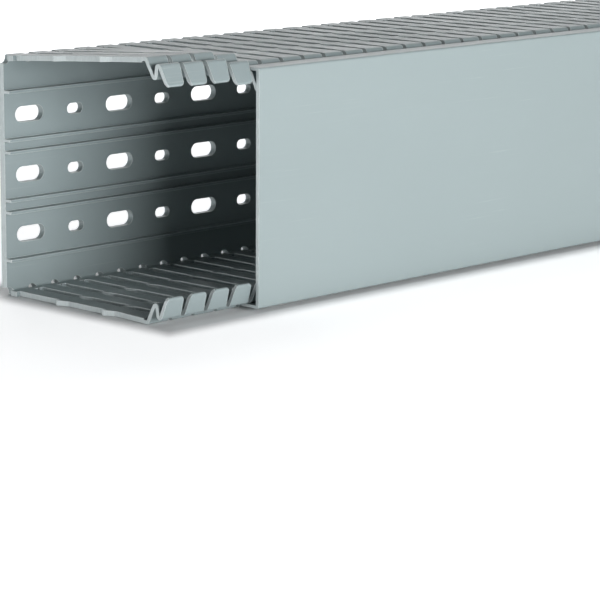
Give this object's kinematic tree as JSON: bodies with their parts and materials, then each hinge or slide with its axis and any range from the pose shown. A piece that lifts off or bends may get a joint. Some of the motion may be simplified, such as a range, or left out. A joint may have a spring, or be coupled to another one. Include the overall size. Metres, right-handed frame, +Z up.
{
  "type": "slotted wire duct",
  "caption": "Slotted wiring duct with a clip-on cover: finger walls let wires out at any point, slots in the base take fixing screws.",
  "frame": {"origin": "centre of the trough's floor side: middle of the bounding box, at the level the duct rests on", "axes": "+X along the duct away from the bare end, +Y out of the mounting side of the base, +Z up with the duct on its side"},
  "size_m": [1.0506, 0.1, 0.1057],
  "materials": {
    "duct_pvc": "satin"
  },
  "bodies": {
    "trough": {"slotted_trough": "duct_pvc"},
    "cover": {"clip_on_cover": "duct_pvc"}
  },
  "joints": [
    {"name": "cover_slide", "type": "slide", "parent": "trough", "child": "cover", "axis": [1, 0, 0], "range_m": [0, 0.9]}
  ]
}
